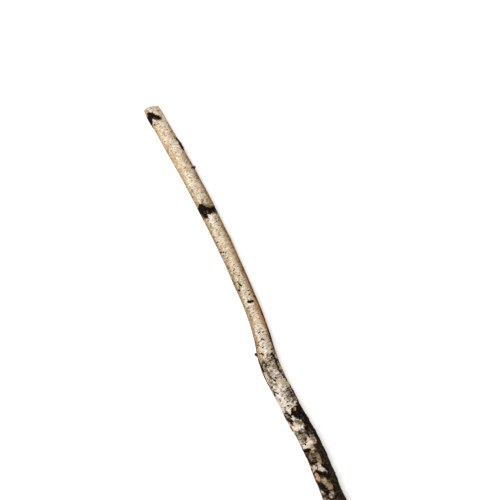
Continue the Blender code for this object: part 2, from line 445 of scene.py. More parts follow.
# Eye-shaped scars, in millimetres and degrees from the middle of their knot. The heart's half width is a
# share of the knot's girth.
EYE_HEART_SHARE = 0.32
EYE_HEART_ENDS = (-2, 3)
EYE_WING_ENDS = (-1, 13)
EYE_WING_TURN = 42
EYE_WING_WIDTH = 1.9
EYE_WING_STRENGTH = 0.85

# How far the edge of a mark blurs: a share of the mark's width, within two limits.
EDGE_SHARE = 0.55
SHARPEST_EDGE = 0.9
SOFTEST_EDGE = 2.4

# The blur of marks whose edges don't go by their width.
WIDE_EDGE = 3.0
TINT_EDGE = 2.6
GOLDEN_EDGE = 2.4
DASH_RIM_EDGE = 1.6
CRACK_EDGE = 1.2
DASH_EDGE = 0.9
HEART_EDGE = 0.8

# How far borders wander: a mark's in millimetres, an area's in metres. The ends of an area also blur.
MARK_WOBBLE = 0.9
WOBBLE_SIZE = (0.0030, 0.0030)
AREA_BLUR = 0.006
AREA_DRIFT = 0.012
DRIFT_SIZE = (0.0240, 0.0080)

# Stretches down the branch over which the bark changes, and over which the painted shade of its sides grows
# and fades.
RIGHT_SHADE_GROWS = (0.020, 0.180)
RIGHT_SHADE_FADES = (0.360, 0.500)
RIGHT_SHADE_LOST = 0.8
LEFT_SHADE_GROWS = (0.100, 0.360)
BREAKS_UP = (0.455, 0.530)
GROWS_ROUGH = (0.470, 0.560)
GROWS_OLD = (0.645, 0.660)

# Stretches where the right side is lighter, with less painted shade, and where there are more dashes, and the
# blur of their ends.
LIGHTER_RIGHT = (0.440, 0.575)
MANY_DASHES = (0.218, 0.400)
SPECKLED = (0.425, 0.575)
STRETCH_BLUR = 0.012

# Sides of the branch: the turn that each points to, and the spread over which it fades. Shade is painted
# toward the left, right and far right sides.
LEFT_SIDE = (88, 84)
RIGHT_SIDE = (-92, 100)
FAR_RIGHT = (-100, 62)
DASHED_SIDE = (60, 70)

# Broad shading, painted into the bark's colour: golden toward the left edge and golden and brown toward the
# right side are painted shade of the rounded branch; the base, old-part and patchy shares are the bark's own
# tone. How much of each bark there is, where, and how uneven it is.
PATCH_SIZE = (0.022, 0.013)
GOLDEN_BASE = 0.28
GOLDEN_LEFT = 0.60
GOLDEN_RIGHT = 0.34
GOLDEN_RIGHT_SHADE = 0.34
GOLDEN_OLD = 0.30
GOLDEN_PATCHY = 0.14
BROWN_BASE = 0.10
BROWN_LEFT = 0.32
BROWN_RIGHT = 0.18
BROWN_RIGHT_SHADE = 0.30
BROWN_FAR_RIGHT = 0.20
BROWN_FAR_SHADE = 0.20
BROWN_LIGHTENED = 0.5
BROWN_PATCHY = 0.24
PALE_ROUGH = 0.42
PALE_OLD = 0.24
PALE_PATCHY = 0.20
DARK_PATCHY = 0.18
DARK_CLEARED = 0.75
DASHES_BASE = 0.24
DASHES_MORE = 0.46
DASHES_SMOOTH = 0.06
DASHES_ELSEWHERE = 0.30

# The most that the broad golden and brown tone with its painted shade may take of the bark, so that some of
# the other bark still shows in it.
MOST_GOLDEN = 0.74
MOST_SHADED = 0.54


def smooth_step(value, low, high):
    share = np.clip((value - low) / (high - low), 0.0, 1.0)
    return share * share * (3 - 2 * share)


def course(along, column):
    """One column of COURSE at each place, on a smooth curve through its rows."""
    places = np.array([station.along for station in COURSE])
    values = np.array([getattr(station, column) for station in COURSE])
    before = np.maximum(np.arange(len(COURSE)) - 1, 0)
    after = np.minimum(np.arange(len(COURSE)) + 1, len(COURSE) - 1)
    slopes = (values[after] - values[before]) / (places[after] - places[before])
    first = np.searchsorted(places[1:-1], along)
    span = places[first + 1] - places[first]
    share = np.clip((along - places[first]) / span, 0.0, 1.0)
    start = (1 + 2 * share) * (1 - share) ** 2 * values[first]
    end = share * share * (3 - 2 * share) * values[first + 1]
    leave = share * (1 - share) ** 2 * span * slopes[first]
    arrive = share * share * (share - 1) * span * slopes[first + 1]
    return start + end + leave + arrive


def course_at(along, column):
    """One column of COURSE at a single place."""
    return float(course(np.array([along]), column)[0])


def turn_between(turn, other):
    """The difference of two turns, the short way round."""
    return (turn - other + math.pi) % (2 * math.pi) - math.pi


def swelling(along, turn, radius):
    """How far the knots lift the bark, or sink it in their hollows."""
    total = np.zeros_like(along)
    for knot in KNOTS:
        down = (along - knot.along) / knot.reach
        across = radius * turn_between(turn, math.radians(knot.turn)) / knot.girth
        distance = down * down + across * across
        total += knot.height * np.exp(-distance)
        total -= knot.hollow * np.exp(-HOLLOW_SHARPNESS * distance)
    return total


def noise_at(places):
    """Perlin noise, about -1 to 1, at each of the places."""
    return np.array([noise.noise(place) for place in places.tolist()])


# Fractal noise: how fast its octaves fade, how much finer each is than the one before, and their number.
FADE = 0.9
FINER = 2.1
OCTAVES = 3


def turbulence_at(places):
    """Fractal noise at each of the places."""
    return np.array([noise.fractal(place, FADE, FINER, OCTAVES) for place in places.tolist()])


def cell_gap_at(places):
    """0 on the borders between the cells of a cell pattern and about 0.5 inside them."""
    gaps = []
    for place in places.tolist():
        distances = noise.voronoi(place)[0]
        gaps.append(distances[1] - distances[0])
    return np.array(gaps)


def wrapped(along, turn, radius, long, wide):
    """Places for noise on the bark, with features of one size along the branch and another across it."""
    return np.stack((along / long, np.sin(turn) * radius / wide, np.cos(turn) * radius / wide), axis=1)


def unevenness_left(turn):
    """How much of its unevenness the bark keeps at a turn: all of it above, less of it underneath."""
    return 1 - UNDERSIDE_CALM * np.maximum(-np.cos(turn), 0.0) ** 2


def lumps(along, turn, radius):
    """The low unevenness of the bark, as in the CAD part."""
    rough = smooth_step(along, ROUGH_FROM, ROUGH_TO)
    height = SMOOTH_LUMP + (ROUGH_LUMP - SMOOTH_LUMP) * rough
    height = height * unevenness_left(turn)
    return height * noise_at(wrapped(along, turn, radius, LUMP_LONG, LUMP_WIDE))


class Sheet:
    """Every point of the fine mesh, as arrays: its place, its turn and what the bark is like there."""

    def __init__(self, along, turn):
        self.along = along
        self.turn = turn
        self.radius = course(along, "diameter") / 2
        self.wobble = MARK_WOBBLE * noise_at(self.wrapped(WOBBLE_SIZE))
        self.drift = AREA_DRIFT * noise_at(self.wrapped(DRIFT_SIZE))

    def wrapped(self, size):
        """Places for noise with features of a size, given down the branch and across it."""
        return wrapped(self.along, self.turn, self.radius, *size)

    def turbulence(self, size):
        """Fractal noise with features of a size."""
        return turbulence_at(self.wrapped(size))

    def distance(self, stroke):
        """Millimetres from each point to the line of a stroke, over the bark."""
        down = self.along / MM - stroke.along
        across = self.radius / MM * turn_between(self.turn, math.radians(stroke.turn))
        run = stroke.to_along - stroke.along
        sweep = self.radius / MM * math.radians(stroke.to_turn - stroke.turn)
        reach = np.maximum(run * run + sweep * sweep, 1e-9)
        share = np.clip((down * run + across * sweep) / reach, 0.0, 1.0)
        return np.hypot(down - share * run, across - share * sweep)

    def painted(self, strokes, edge=None):
        """1 well inside the strokes, 0 well outside them and 0.5 on their edges, times their strength."""
        most = np.zeros_like(self.along)
        for stroke in strokes:
            inside = stroke.width + self.wobble - self.distance(stroke)
            blur = edge or min(max(stroke.width * EDGE_SHARE, SHARPEST_EDGE), SOFTEST_EDGE)
            share = stroke.strength * np.clip(0.5 + inside / (2 * blur), 0.0, 1.0)
            most = np.maximum(most, share)
        return most

    def covered(self, areas):
        """The strength of the strongest area at each point, with soft borders."""
        most = np.zeros_like(self.along)
        for area in areas:
            away = np.abs(turn_between(self.turn, math.radians(area.turn)))
            spread = math.radians(area.spread)
            about = 1 - smooth_step(away, spread * 0.5, spread)
            share = area.strength * about * self.zone(area.start * MM, area.end * MM, AREA_BLUR)
            most = np.maximum(most, share)
        return most

    def zone(self, start, end, blur):
        """1 between two places down the branch, in metres, and 0 beyond them, with wandering borders."""
        along = self.along + self.drift
        begun = smooth_step(along, start - blur, start + blur)
        return begun * (1 - smooth_step(along, end - blur, end + blur))

    def side(self, turn, spread):
        """1 on the side of the branch that a turn points to, falling to 0 at a spread from it."""
        away = np.abs(turn_between(self.turn, math.radians(turn)))
        return 1 - smooth_step(away, 0.0, math.radians(spread))


def dash_strokes():
    """The strokes of DASHES, which run across the bark with a slight slant."""
    strokes = []
    for dash in DASHES:
        radius = course_at(dash.along * MM, "diameter") / 2 / MM
        half = math.degrees(dash.reach / radius)
        ends = (dash.along, dash.turn - half, dash.along + DASH_SLANT, dash.turn + half)
        strokes.append(Stroke(*ends, DASH_WIDTH, DASH_STRENGTH))
    return strokes


def eye_strokes():
    """The eye-shaped scar of a knot: a dark heart with two wings that run back across the bark."""
    strokes = []
    for knot in KNOTS:
        if knot.along not in EYE_KNOTS:
            continue
        along = knot.along / MM
        first, last = EYE_HEART_ENDS
        heart = knot.girth / MM * EYE_HEART_SHARE
        strokes.append(Stroke(along + first, knot.turn, along + last, knot.turn, heart))
        first, last = EYE_WING_ENDS
        for way in (-1, 1):
            ends = (along + first, knot.turn, along + last, knot.turn + way * EYE_WING_TURN)
            strokes.append(Stroke(*ends, EYE_WING_WIDTH, EYE_WING_STRENGTH))
    return strokes


def bark_fields(sheet):
    """What the bark is like at every point, with the painted shade of its sides: a share from 0 to 1 for each
    kind of bark.
    """
    smooth_part = 1 - smooth_step(sheet.along, *BREAKS_UP)
    rough_part = 1 - smooth_part
    old_part = smooth_step(sheet.along, *GROWS_OLD)
    right_shade_share = smooth_step(sheet.along, *RIGHT_SHADE_GROWS) * (1 - RIGHT_SHADE_LOST * smooth_step(sheet.along, *RIGHT_SHADE_FADES))
    left_edge_shade = smooth_step(sheet.along, *LEFT_SHADE_GROWS)
    left = sheet.side(*LEFT_SIDE)
    right = sheet.side(*RIGHT_SIDE)
    far_right = sheet.side(*FAR_RIGHT)
    patchy = sheet.turbulence(PATCH_SIZE)

    # Painted shade: golden toward the left edge, and golden and brown toward the right side, over the bark's
    # own golden and brown tone.
    golden_tone_and_shade = GOLDEN_BASE + GOLDEN_LEFT * left * smooth_part
    golden_tone_and_shade += (GOLDEN_RIGHT + GOLDEN_RIGHT_SHADE * right_shade_share) * right
    golden_tone_and_shade += GOLDEN_OLD * old_part
    right_painted_shade = (BROWN_RIGHT + BROWN_RIGHT_SHADE * right_shade_share) * right
    right_painted_shade += (BROWN_FAR_RIGHT + BROWN_FAR_SHADE * right_shade_share) * far_right
    lighter_right = 1 - BROWN_LIGHTENED * sheet.zone(*LIGHTER_RIGHT, STRETCH_BLUR)
    brown_tone_and_shade = BROWN_BASE + lighter_right * right_painted_shade
    brown_tone_and_shade += BROWN_LEFT * left_edge_shade * smooth_part * left
    bleached = PALE_ROUGH * rough_part - PALE_OLD * old_part + PALE_PATCHY * patchy

    dashes = dash_strokes()
    golden_marks = sheet.painted(GOLDEN_MARKS, GOLDEN_EDGE)
    pale_marks = sheet.painted(PALE_MARKS, WIDE_EDGE)
    brown_marks = np.maximum(sheet.painted(BROWN_MARKS, WIDE_EDGE), sheet.covered(BROWN_AREAS))
    olive_marks = np.maximum(sheet.painted(OLIVE_MARKS, TINT_EDGE), sheet.covered(OLIVE_AREAS))
    black_marks = sheet.painted(BLACK_MARKS + tuple(eye_strokes()) + CRACKS)
    black_marks = np.maximum(black_marks, sheet.painted(dashes, DASH_EDGE))
    cleared = np.maximum(pale_marks, golden_marks)
    dark_areas = sheet.covered(DARK_AREAS) + DARK_PATCHY * patchy * rough_part
    dark = np.maximum(black_marks, dark_areas * (1 - DARK_CLEARED * cleared))
    heart_rims = sheet.painted([heart._replace(width=heart.width + HEART_RIM) for heart in HEARTS])

    beside = DASHES_ELSEWHERE + (1 - DASHES_ELSEWHERE) * sheet.side(*DASHED_SIDE)
    many = beside * sheet.zone(*MANY_DASHES, STRETCH_BLUR)
    speckled = sheet.zone(*SPECKLED, STRETCH_BLUR)
    fields = {
        "golden": np.maximum(golden_marks, np.minimum(golden_tone_and_shade, MOST_GOLDEN) + GOLDEN_PATCHY * patchy),
        "brown": np.maximum(brown_marks, np.minimum(brown_tone_and_shade, MOST_SHADED) + BROWN_PATCHY * patchy),
        "amber": sheet.painted(AMBER_MARKS, TINT_EDGE),
        "olive": np.maximum(olive_marks, sheet.painted(dashes, DASH_RIM_EDGE)),
        "pale": np.maximum(pale_marks, bleached),
        "charred": black_marks,
        "dark": np.maximum(dark, heart_rims),
        "rust": sheet.painted(RUST_MARKS),
        "wood": sheet.painted(HEARTS, HEART_EDGE),
        "dashes": DASHES_BASE + DASHES_MORE * np.maximum(many, speckled) + DASHES_SMOOTH * smooth_part,
    }
    return {name: np.clip(field, 0.0, 1.0) for name, field in fields.items()}


# Heights of the fine relief.
GRAIN_HEIGHT = 0.00012
ROUGH_HEIGHT = 0.00055
SCAR_DEPTH = 0.00040
SCAR_GRIT = 0.00055
FISSURE_DEPTH = 0.00080
HEART_DEPTH = 0.0011
RIM_HEIGHT = 0.0006
CRACK_DEPTH = 0.0007

# Sizes of the fine relief, down the branch and across it, and how far the plates are stirred out of line.
GRAIN_SIZE = (0.0045, 0.0040)
COARSE_SIZE = (0.0100, 0.0065)
PLATE_SIZE = (0.0150, 0.0085)
PLATE_STIR = 0.15

# Fissures: how far they reach into the plates, and their depth on plain bark as a share of that in scars.
FISSURE_REACH = 0.16
PLAIN_FISSURE = 0.35

# The shares of dark bark and of a crack over which the surface sinks.
SCAR_STEP = (0.40, 0.75)
CRACK_STEP = (0.3, 0.7)

# Millimetres from the edge of a cut heart: over which it sinks, and where its rim is highest and how wide.
HEART_LIP = 0.6
RIM_OFF = 1.5
RIM_WIDTH = 1.0


def fine_relief(sheet, fields):
    """Grain, plates, fissures, scars and cut hearts, as heights over the plain bark."""
    rough_part = smooth_step(sheet.along, *GROWS_ROUGH)
    fine = sheet.turbulence(GRAIN_SIZE)
    coarse = sheet.turbulence(COARSE_SIZE)
    gap = cell_gap_at(sheet.wrapped(PLATE_SIZE) + PLATE_STIR * coarse[:, None])
    scar = smooth_step(fields["dark"], *SCAR_STEP)
    height = GRAIN_HEIGHT * fine
    height += ROUGH_HEIGHT * rough_part * coarse
    fissure = FISSURE_DEPTH * rough_part * (1 - smooth_step(gap, 0.0, FISSURE_REACH))
    height -= fissure * (PLAIN_FISSURE + (1 - PLAIN_FISSURE) * scar)
    height += scar * (SCAR_GRIT * fine - SCAR_DEPTH)
    height -= CRACK_DEPTH * smooth_step(sheet.painted(CRACKS, CRACK_EDGE), *CRACK_STEP)
    for heart in HEARTS:
        inside = heart.width - sheet.distance(heart)
        height -= HEART_DEPTH * smooth_step(inside, -HEART_LIP, HEART_LIP)
        height += RIM_HEIGHT * np.exp(-(((inside + RIM_OFF) / RIM_WIDTH) ** 2))
    return height * unevenness_left(sheet.turn)


def end_rows(wear):
    """Rows over a sawn face and its worn rim, from the middle out: depth, share of the radius, inset."""
    rows = [(0.0, share, wear) for share in np.linspace(0.0, 1.0, FACE_ROWS, endpoint=False)]
    for angle in np.linspace(0.0, math.pi / 2, RIM_ROWS):
        rows.append((wear * (1 - math.cos(angle)), 1.0, wear * (1 - math.sin(angle))))
    return rows


def all_rows():
    """All rows of the fine mesh, from the middle of the thin face to the middle of the butt face."""
    rows = end_rows(THIN_CUT.wear)
    bark = np.linspace(THIN_CUT.wear, LENGTH - BUTT_CUT.wear, BARK_ROWS)
    rows += [(place, 1.0, 0.0) for place in bark[1:-1]]
    butt = end_rows(BUTT_CUT.wear)
    rows += [(LENGTH - depth, share, inset) for depth, share, inset in reversed(butt)]
    return np.array(rows)


def lean(cut, turn, radial):
    """How much further down the branch a slanting cut meets it than a square one would."""
    slant = math.tan(cut.yaw) * np.sin(turn) + math.tan(cut.pitch) * np.cos(turn)
    return cut.facing * radial * slant


def shape_stem(places):
    """Moves the points of a flat grid, which spans -1 to 1, to their places on the branch."""
    rows = all_rows()
    row = np.rint((places[:, 0] + 1) / 2 * (len(rows) - 1)).astype(int)
    place, share, inset = rows[row].T
    turn = places[:, 1] * math.pi
    nominal = share * (course(place, "diameter") / 2 - inset)
    along = place + lean(THIN_CUT, turn, nominal) * np.clip(1 - place / LEAN_FADE, 0.0, 1.0)
    along += lean(BUTT_CUT, turn, nominal) * np.clip(1 - (LENGTH - place) / LEAN_FADE, 0.0, 1.0)
    sheet = Sheet(along, turn)
    fields = bark_fields(sheet)
    lift = swelling(along, turn, sheet.radius) + lumps(along, turn, sheet.radius)
    lift += fine_relief(sheet, fields)
    radial = share * (sheet.radius + lift - inset)
    shaped = np.stack(
        (
            LENGTH / 2 - along,
            course(along, "side") + radial * np.sin(turn),
            course(along, "under") + sheet.radius + radial * np.cos(turn),
        ),
        axis=1,
    )
    shaped[:, 2] = np.maximum(shaped[:, 2], 0.0)
    around = share * (1 - inset / sheet.radius) * GROWN_RADIUS / MM
    grown = np.stack((around * np.sin(turn), around * np.cos(turn), along / MM), axis=1)
    return shaped, fields, grown


def shift_to_frame(points):
    """The step from the branch's own coordinates to the CAD part's place."""
    low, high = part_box(NODE)
    middle = (low + high) / 2
    own = (points.min(axis=0) + points.max(axis=0)) / 2
    return Vector((middle.x - own[0], middle.y - own[1], 0.0))


def store(mesh, name, kind, values):
    """Keeps a number or a vector for each point of a mesh."""
    attribute = mesh.attributes.new(name, kind, "POINT")
    key = "vector" if kind == "FLOAT_VECTOR" else "value"
    attribute.data.foreach_set(key, np.ascontiguousarray(values, np.float32).ravel())


def mesh_of(bm, name):
    """A mesh of a finished bmesh, which is freed."""
    mesh = bpy.data.meshes.new(name)
    bm.to_mesh(mesh)
    bm.free()
    return mesh


def add_object(name, data):
    """An object for a mesh, a camera or a lamp, in the scene."""
    made = bpy.data.objects.new(name, data)
    bpy.context.scene.collection.objects.link(made)
    return made


def make_stem(bark, sawn):
    """The whole branch as one closed mesh: a grid rolled up, with its seam and both ends closed."""
    bm = bmesh.new()
    last_row = len(all_rows()) - 1
    bmesh.ops.create_grid(bm, x_segments=last_row, y_segments=COLUMNS, size=1.0)
    mesh = mesh_of(bm, "birch_stem")

    places = np.empty(len(mesh.vertices) * 3, np.float32)
    mesh.vertices.foreach_get("co", places)
    shaped, fields, grown = shape_stem(places.reshape(-1, 3).astype(float))
    shift = shift_to_frame(shaped)
    shaped += np.array(shift)
    mesh.vertices.foreach_set("co", shaped.astype(np.float32).ravel())
    store(mesh, "grown", "FLOAT_VECTOR", grown)
    for name, values in fields.items():
        store(mesh, name, "FLOAT", values)

    corners = np.empty(len(mesh.loops), np.int32)
    mesh.loops.foreach_get("vertex_index", corners)
    flat = places.reshape(-1, 3)[corners.reshape(-1, 4), 0].mean(axis=1)
    band = (flat + 1) / 2 * last_row
    on_face = (band < FACE_ROWS) | (band > last_row - FACE_ROWS)
    mesh.polygons.foreach_set("material_index", on_face.astype(np.int32))

    bm = bmesh.new()
    bm.from_mesh(mesh)
    bmesh.ops.remove_doubles(bm, verts=bm.verts, dist=WELD)
    bmesh.ops.recalc_face_normals(bm, faces=bm.faces)
    bm.to_mesh(mesh)
    bm.free()
    mesh.shade_smooth()
    mesh.materials.append(bark)
    mesh.materials.append(sawn)
    return add_object("birch_stem", mesh), shift


# The twig stubs. The lip round the broken tip is a share of the foot.
STUB_ROOT = 0.004
STUB_SIDES = 14
STUB_RINGS = 6
STUB_TAPER = 0.72
STUB_GRIT = 0.00035
GRIT_SIZE = 0.0022
TIP_LIP = 0.10
TIP_HOLLOW = 0.0002
TIP_LENGTH = 0.0003
TIP_GRIT = 0.0006
TIP_GRIT_SIZE = 0.0011


def make_stub(number, stub, shift, material):
    """A short broken twig that leans towards the thin end, with its foot inside the stem."""
    turn = math.radians(stub.turn)
    slant = math.radians(stub.lean)
    outward = Vector((0.0, math.sin(turn), math.cos(turn)))
    direction = outward * math.cos(slant) + Vector((1.0, 0.0, 0.0)) * math.sin(slant)
    radius = course_at(stub.along, "diameter") / 2
    height = course_at(stub.along, "under") + radius
    surface = Vector((LENGTH / 2 - stub.along, course_at(stub.along, "side"), height)) + outward * radius
    depth = STUB_ROOT + stub.height / math.cos(slant)
    bm = bmesh.new()
    bmesh.ops.create_cone(
        bm,
        cap_ends=True,
        segments=STUB_SIDES,
        radius1=stub.foot / 2,
        radius2=stub.foot / 2 * STUB_TAPER,
        depth=depth,
    )
    sides = [edge for edge in bm.edges if abs(edge.verts[0].co.z - edge.verts[1].co.z) > depth / 2]
    bmesh.ops.subdivide_edges(bm, edges=sides, cuts=STUB_RINGS)
    top = max(bm.faces, key=lambda face: face.calc_center_median().z)
    bmesh.ops.inset_region(bm, faces=[top], thickness=stub.foot * TIP_LIP, depth=-TIP_HOLLOW)
    bmesh.ops.poke(bm, faces=[top])

    # Each stub reads its own parts of the noise, one for each way that its points are moved.
    first_part = Vector((7.0 * number, 0.0, 0.0))
    second_part = Vector((0.0, 5.0 * number, 3.0))
    for vert in bm.verts:
        vert.co.x += STUB_GRIT * noise.noise(vert.co / GRIT_SIZE + first_part)
        vert.co.y += STUB_GRIT * noise.noise(vert.co / GRIT_SIZE + second_part)
        if vert.co.z > depth / 2 - TIP_LENGTH:
            vert.co.z -= TIP_GRIT * abs(noise.noise(vert.co / TIP_GRIT_SIZE))
    bmesh.ops.translate(bm, verts=bm.verts, vec=(0.0, 0.0, depth / 2 - STUB_ROOT))
    turned = direction.to_track_quat("Z", "X").to_matrix()
    bmesh.ops.rotate(bm, verts=bm.verts, cent=(0.0, 0.0, 0.0), matrix=turned)
    bmesh.ops.translate(bm, verts=bm.verts, vec=surface + shift)
    bmesh.ops.recalc_face_normals(bm, faces=bm.faces)
    name = f"twig_stub_{number}"
    mesh = mesh_of(bm, name)
    mesh.shade_smooth()
    mesh.materials.append(material)
    return add_object(name, mesh)


def add_node(tree, kind, inputs=None, **settings):
    """A shader node with its settings, and a value or a link for each of its named inputs."""
    made = tree.nodes.new(kind)
    for name, value in settings.items():
        setattr(made, name, value)
    for name, value in (inputs or {}).items():
        socket = made.inputs[name]
        if isinstance(value, bpy.types.NodeSocket):
            tree.links.new(value, socket)
        else:
            socket.default_value = value
    return made


def calculate(tree, operation, first, second=0.0):
    """One step of arithmetic on numbers or sockets."""
    return add_node(tree, "ShaderNodeMath", {0: first, 1: second}, operation=operation).outputs[0]


def mix_colours(tree, share, first, second, way="MIX"):
    """A mix of two colours by a share. The Mix node takes colours in sockets 6 and 7 and gives one in 2."""
    inputs = {0: share, 6: first, 7: second}
    return add_node(tree, "ShaderNodeMix", inputs, data_type="RGBA", blend_type=way).outputs[2]


def ramp(tree, value, low, high, to_low=0.0, to_high=1.0):
    """A smooth rise from to_low to to_high as a value goes from low to high."""
    inputs = {"Value": value, "From Min": low, "From Max": high, "To Min": to_low, "To Max": to_high}
    made = add_node(tree, "ShaderNodeMapRange", inputs, interpolation_type="SMOOTHSTEP")
    return made.outputs["Result"]


def cloud(tree, place, scale, detail=3.0, roughness=0.55):
    """Noise about 0.5 at a place."""
    inputs = {"Vector": place, "Scale": scale, "Detail": detail, "Roughness": roughness}
    return add_node(tree, "ShaderNodeTexNoise", inputs).outputs["Fac"]


def stretch(tree, place, factors, offset=0.0):
    """A place with each of its coordinates multiplied, and moved to another part of the noise."""
    inputs = {0: place, 1: factors, 2: (offset, offset, offset)}
    return add_node(tree, "ShaderNodeVectorMath", inputs, operation="MULTIPLY_ADD").outputs[0]


def new_group(name, inputs, outputs):
    """An empty node group with its named sockets; an input is a name, a kind and a starting value."""
    group = bpy.data.node_groups.new(name, "ShaderNodeTree")
    for label, kind, value in inputs:
        socket = group.interface.new_socket(name=label, in_out="INPUT", socket_type="NodeSocket" + kind)
        if value is not None:
            socket.default_value = value
    for label, kind in outputs:
        group.interface.new_socket(name=label, in_out="OUTPUT", socket_type="NodeSocket" + kind)
    entry = group.nodes.new("NodeGroupInput")
    leave = group.nodes.new("NodeGroupOutput")
    return group, entry.outputs, leave.inputs


def place_group(tree, group, inputs):
    """Puts a node group into a material and gives its first result."""
    return add_node(tree, "ShaderNodeGroup", inputs, node_tree=group).outputs[0]


def ragged_patch_group():
    """Turns a share of the bark into a mask with ragged, grown edges."""
    group, entry, leave = new_group(
        "ragged_patch",
        [
            ("Share", "Float", 0.0),
            ("Place", "Vector", None),
            ("Grain", "Float", 0.4),
            ("Raggedness", "Float", 1.0),
            ("Softness", "Float", 0.1),
        ],
        [("Mask", "Float")],
    )
    grain = cloud(group, entry["Place"], entry["Grain"], detail=6.0, roughness=0.74)
    stir = calculate(group, "MULTIPLY", calculate(group, "SUBTRACT", grain, 0.5), entry["Raggedness"])
    level = calculate(group, "ADD", entry["Share"], stir)
    low = calculate(group, "SUBTRACT", 0.5, entry["Softness"])
    high = calculate(group, "ADD", 0.5, entry["Softness"])
    group.links.new(ramp(group, level, low, high), leave["Mask"])
    return group


# The dashes of the pattern: how fine they are across the stem, twice, and along it, how their sizes vary, and
# how much of each is fully dark.
DASH_FINENESS = (0.45, 0.45, 1.7)
SMALLEST_DASH = 0.6
LARGEST_DASH = 1.3
DASH_CORE = 0.55


def cross_dash_group():
    """Short dashes that run across the bark, more of them where the amount is higher."""
    group, entry, leave = new_group(
        "cross_dashes",
        [
            ("Amount", "Float", 0.3),
            ("Place", "Vector", None),
            ("Scale", "Float", 0.4),
            ("Size", "Float", 0.3),
        ],
        [("Mask", "Float")],
    )
    wander = cloud(group, entry["Place"], 0.25, detail=2.0)
    bent = add_node(group, "ShaderNodeVectorMath", {0: entry["Place"], 1: wander}, operation="ADD")
    narrow = stretch(group, bent.outputs[0], DASH_FINENESS)
    cells = add_node(
        group,
        "ShaderNodeTexVoronoi",
        {"Vector": narrow, "Scale": entry["Scale"], "Randomness": 1.0},
        feature="F1",
    )
    chance = add_node(group, "ShaderNodeSeparateColor", {"Color": cells.outputs["Color"]})
    picked = calculate(group, "LESS_THAN", chance.outputs["Red"], entry["Amount"])
    varied = ramp(group, chance.outputs["Green"], 0.0, 1.0, SMALLEST_DASH, LARGEST_DASH)
    size = calculate(group, "MULTIPLY", entry["Size"], varied)
    core = calculate(group, "MULTIPLY", size, DASH_CORE)
    inside = ramp(group, cells.outputs["Distance"], size, core)
    group.links.new(calculate(group, "MULTIPLY", inside, picked), leave["Mask"])
    return group


def new_material(name):
    """A new material, its node tree and the inputs of its shader."""
    material = bpy.data.materials.new(name)
    material.use_nodes = True
    tree = material.node_tree
    return material, tree, tree.nodes["Principled BSDF"].inputs


def add_bump(tree, finish, height, strength, distance):
    """Lets a height roughen the surface, up to a distance in metres."""
    inputs = {"Height": height, "Strength": strength, "Distance": distance}
    tree.links.new(add_node(tree, "ShaderNodeBump", inputs).outputs["Normal"], finish["Normal"])


def field_value(tree, name):
    """The share of one kind of bark, which the mesh carries."""
    return add_node(tree, "ShaderNodeAttribute", attribute_name=name).outputs["Fac"]


def grown_place(tree):
    """The place on the straight stem, in millimetres, which the mesh carries."""
    return add_node(tree, "ShaderNodeAttribute", attribute_name="grown").outputs["Vector"]


CREAM = (0.560, 0.450, 0.310, 1.0)
LIGHT_CREAM = (0.720, 0.640, 0.510, 1.0)
PINKISH_WHITE = (0.740, 0.640, 0.560, 1.0)
GOLDEN_TAN = (0.410, 0.265, 0.125, 1.0)
AMBER = (0.470, 0.232, 0.088, 1.0)
WARM_BROWN = (0.115, 0.058, 0.023, 1.0)
DASH_BROWN = (0.060, 0.036, 0.018, 1.0)
OLIVE_GREY = (0.170, 0.136, 0.074, 1.0)
FRINGE_BROWN = (0.130, 0.082, 0.044, 1.0)
BLACK_BROWN = (0.005, 0.003, 0.002, 1.0)
SMOKY_BROWN = (0.055, 0.036, 0.019, 1.0)
SCORCHED_BROWN = (0.070, 0.034, 0.016, 1.0)
RUST = (0.200, 0.072, 0.026, 1.0)
ORANGE_WOOD = (0.380, 0.180, 0.070, 1.0)
SALMON_WOOD = (0.520, 0.320, 0.180, 1.0)
BARK_SPECULAR = 0.06

# The coloured layers over the cream bark, in their order: a share that the mesh carries, its colour, and the
# look and place of its patches in the noise.
# The golden and brown layers also carry the painted shade of the branch's sides.
Layer = namedtuple("Layer", "field colour grain raggedness softness offset")
LAYERS = (
    Layer("golden", GOLDEN_TAN, 0.18, 1.9, 0.30, 31.0),
    Layer("pale", PINKISH_WHITE, 0.20, 2.2, 0.18, 77.0),
    Layer("brown", WARM_BROWN, 0.24, 1.6, 0.30, 12.0),
    Layer("amber", AMBER, 0.24, 1.4, 0.34, 43.0),
    Layer("olive", OLIVE_GREY, 0.24, 2.2, 0.18, 55.0),
)

# How fine the patterns of the bark are, across the stem, twice, and along it.
PATCH_FINENESS = (0.70, 0.70, 1.35)
BAND_FINENESS = (0.12, 0.12, 0.62)
MOTTLE_FINENESS = (0.8, 0.8, 1.3)
STREAK_FINENESS = (0.9, 0.9, 0.2)
GRAIN_FINENESS = (0.35, 0.35, 1.6)

# How much of the bark's colour dashes, specks and the fringes of dark bark cover.
DASH_COVER = 0.9
SPECK_COVER = 0.45
FRINGE_COVER = 0.8

# How far the grain stands out and the dashes sink, against the crust of dark bark.
GRAIN_RELIEF = 0.35
DASH_RELIEF = -0.25


